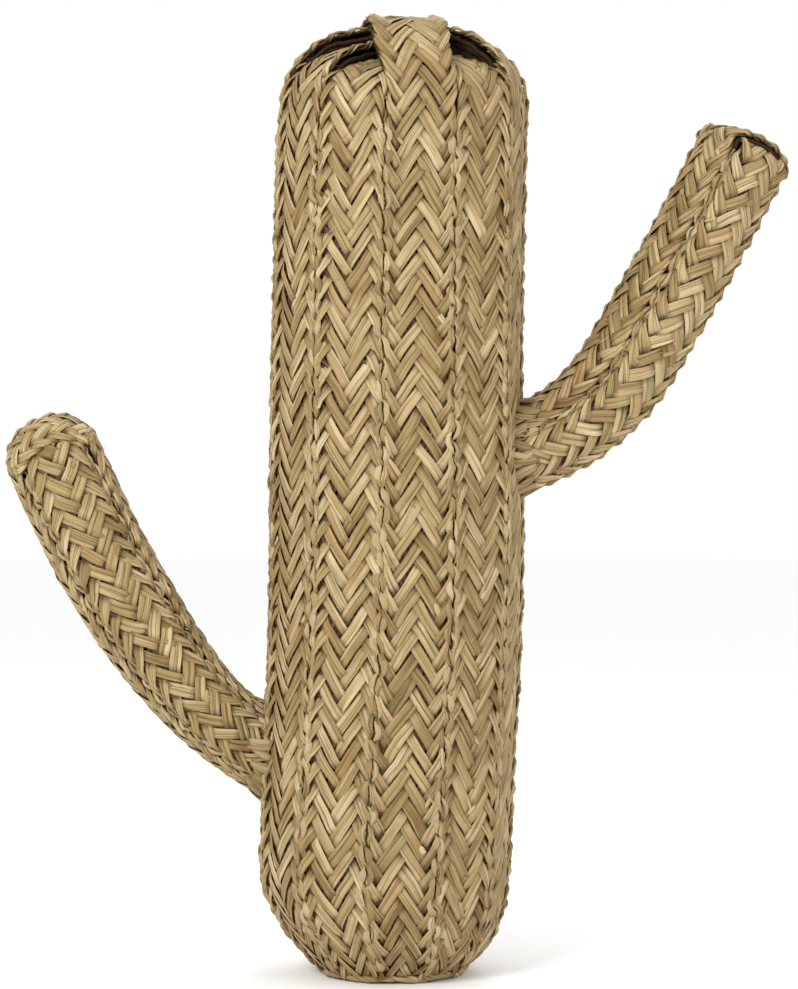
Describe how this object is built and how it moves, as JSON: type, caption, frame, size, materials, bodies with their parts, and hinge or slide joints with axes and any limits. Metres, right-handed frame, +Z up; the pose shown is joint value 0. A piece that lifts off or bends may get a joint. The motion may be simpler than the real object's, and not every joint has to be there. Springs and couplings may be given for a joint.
{
  "type": "plaited palm-leaf cactus ornament",
  "caption": "Free-standing cactus ornament: a stuffed upright trunk and curved side arms, all covered in herringbone plaits of dry palm leaf that cross over the tips.",
  "frame": {"origin": "centre of the round base, on the surface the object stands on", "axes": "+Z up along the trunk, -Y the front, +X the viewer's right when facing the front; the low arm is at -X and the high arm at +X"},
  "size_m": [0.6095, 0.1982, 0.75],
  "materials": {
    "palm_plait": "matte plaited strips of dry palm leaf, straw beige with a few greener and browner strands",
    "lacing_strand": "matte twisted leaf fibre, darker than the plaits",
    "base_coil": "matte coiled plait",
    "straw_filling": "matte packed straw"
  },
  "bodies": {
    "root": {"base_disc": "base_coil", "base_lacing": "lacing_strand", "left_arm_filling": "straw_filling", "left_arm_plait_inner": "palm_plait", "left_arm_plait_outer": "palm_plait", "left_arm_root_lacing": "lacing_strand", "left_arm_seam_cord_1": "lacing_strand", "left_arm_seam_cord_2": "lacing_strand", "left_arm_seam_cord_3": "lacing_strand", "left_arm_seam_cord_4": "lacing_strand", "right_arm_filling": "straw_filling", "right_arm_plait_inner": "palm_plait", "right_arm_plait_outer": "palm_plait", "right_arm_root_lacing": "lacing_strand", "right_arm_seam_cord_1": "lacing_strand", "right_arm_seam_cord_2": "lacing_strand", "right_arm_seam_cord_3": "lacing_strand", "right_arm_seam_cord_4": "lacing_strand", "trunk_filling": "straw_filling", "trunk_plait_1": "palm_plait", "trunk_plait_2": "palm_plait", "trunk_plait_3": "palm_plait", "trunk_plait_4": "palm_plait", "trunk_plait_5": "palm_plait", "trunk_seam_cord_01": "lacing_strand", "trunk_seam_cord_02": "lacing_strand", "trunk_seam_cord_03": "lacing_strand", "trunk_seam_cord_04": "lacing_strand", "trunk_seam_cord_05": "lacing_strand", "trunk_seam_cord_06": "lacing_strand", "trunk_seam_cord_07": "lacing_strand", "trunk_seam_cord_08": "lacing_strand", "trunk_seam_cord_09": "lacing_strand", "trunk_seam_cord_10": "lacing_strand"}
  },
  "joints": []
}
